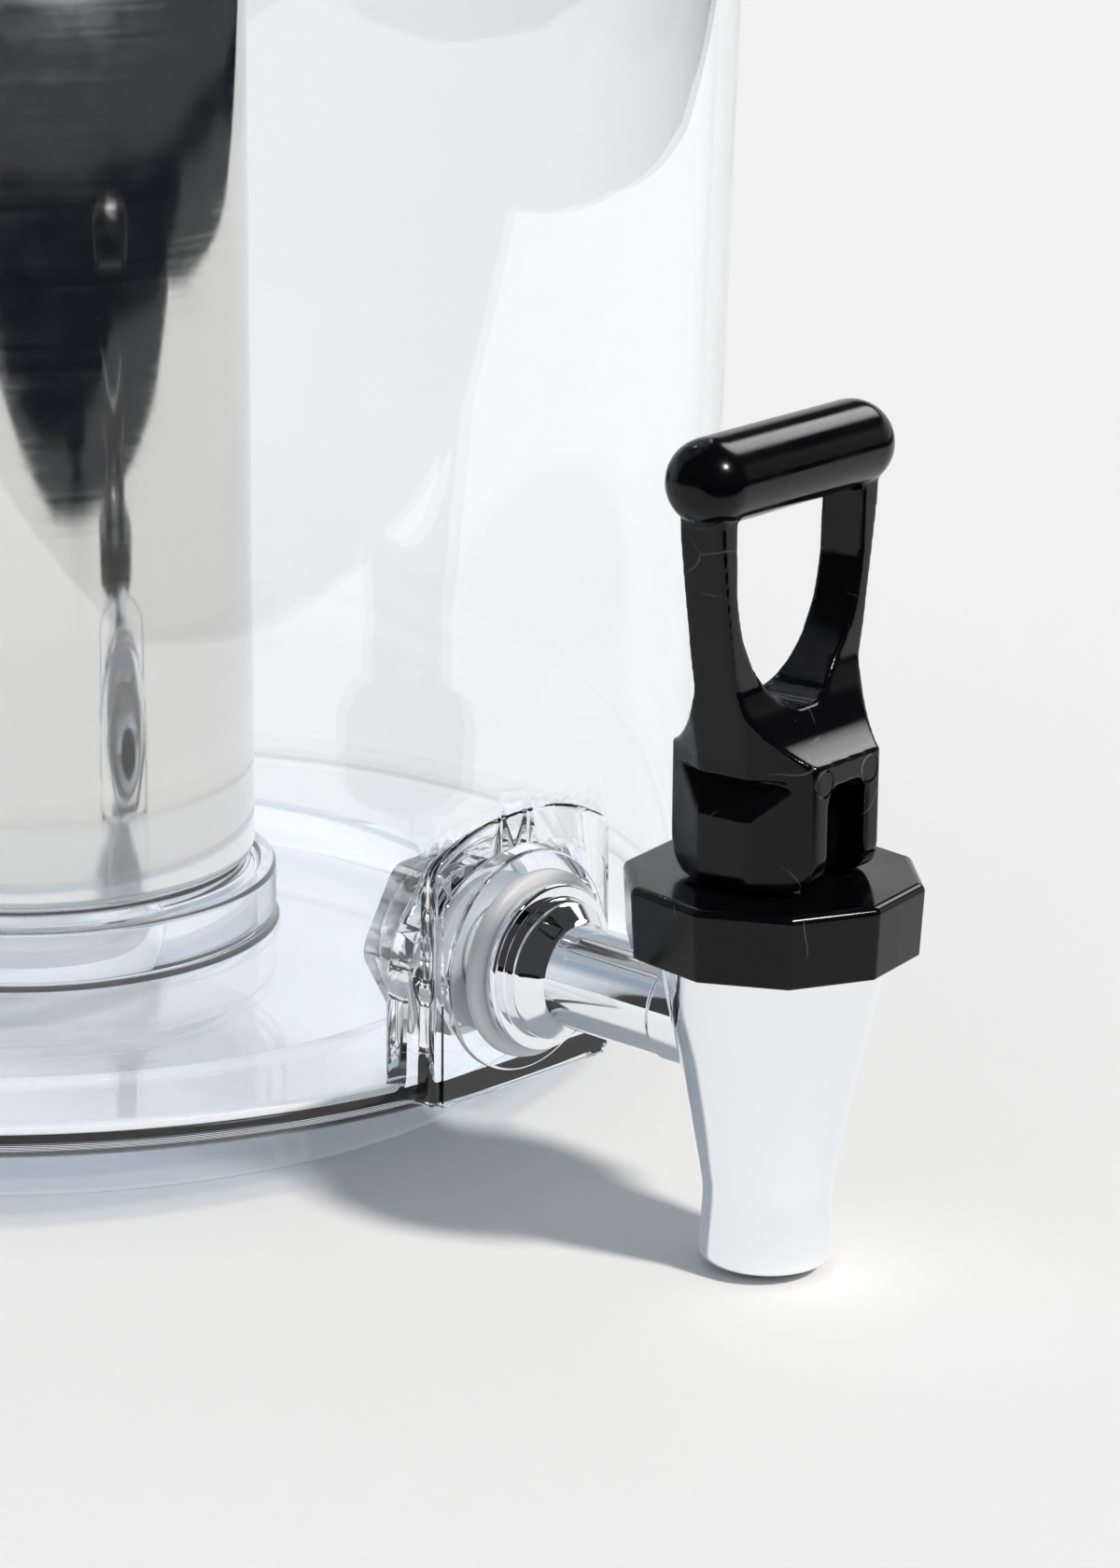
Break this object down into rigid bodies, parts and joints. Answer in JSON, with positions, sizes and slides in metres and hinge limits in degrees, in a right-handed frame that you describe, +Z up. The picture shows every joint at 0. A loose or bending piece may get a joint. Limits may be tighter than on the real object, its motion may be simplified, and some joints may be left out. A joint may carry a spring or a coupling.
{
  "type": "juice dispenser",
  "caption": "Clear round drink dispenser with a central steel ice tube, a lift-off lid and a chrome lever tap with a black loop handle.",
  "frame": {"origin": "on the table, under the middle of the foot", "axes": "+Z up, -Y forward along the tap's shank, +X to the right of someone facing the tap from the tank"},
  "size_m": [0.2472, 0.3127, 0.3046],
  "materials": {
    "clear_plastic": "clear moulded polycarbonate",
    "polished_steel": "polished stainless steel",
    "chrome": "bright chrome plate",
    "black_plastic": "glossy black moulding",
    "white_plastic": "natural nylon",
    "silicone": "translucent silicone"
  },
  "bodies": {
    "dispenser": {"tank": "clear_plastic", "foot_dish": "clear_plastic", "tap_body": "chrome", "tap_outer_washer": "silicone", "tap_inner_washer": "silicone", "tap_nut": "white_plastic", "bonnet_nut": "black_plastic", "bonnet_seal": "silicone", "stem_spring": "polished_steel"},
    "lid": {"tank_lid": "polished_steel", "lid_seal": "silicone", "lid_knob": "black_plastic", "lid_knob_screw": "polished_steel"},
    "ice_tube_unit": {"ice_tube": "polished_steel", "ice_tube_foot": "clear_plastic"},
    "ice_cap": {"ice_tube_cap": "black_plastic", "ice_tube_seal": "silicone"},
    "valve": {"tap_stem": "white_plastic", "seat_cup": "silicone", "handle_pin": "polished_steel"},
    "handle": {"tap_handle": "black_plastic"}
  },
  "joints": [
    {"name": "lid_lift", "type": "slide", "parent": "dispenser", "child": "lid", "axis": [0, 0, 1], "range_m": [0, 0.12]},
    {"name": "ice_tube_lift", "type": "slide", "parent": "dispenser", "child": "ice_tube_unit", "axis": [0, 0, 1], "range_m": [0, 0.018]},
    {"name": "ice_cap_lift", "type": "slide", "parent": "ice_tube_unit", "child": "ice_cap", "axis": [0, 0, 1], "range_m": [0, 0.012]},
    {"name": "stem_lift", "type": "slide", "parent": "dispenser", "child": "valve", "axis": [0, 0, 1], "range_m": [0, 0.0042], "stiffness_N_per_m": 0.5, "springref_m": 0.514, "deforming": ["stem_spring"]},
    {"name": "handle_tilt", "type": "hinge", "parent": "valve", "child": "handle", "pos_m": [0, -0.1666, 0.07094], "axis": [0.9962, 0.0872, 0], "range_deg": [0, 30], "stiffness_Nm_per_rad": 0.08, "springref_deg": -22.92}
  ],
  "couplings": [
    {"joint": "stem_lift", "follows": "handle_tilt", "m_per_rad": 0.008}
  ]
}
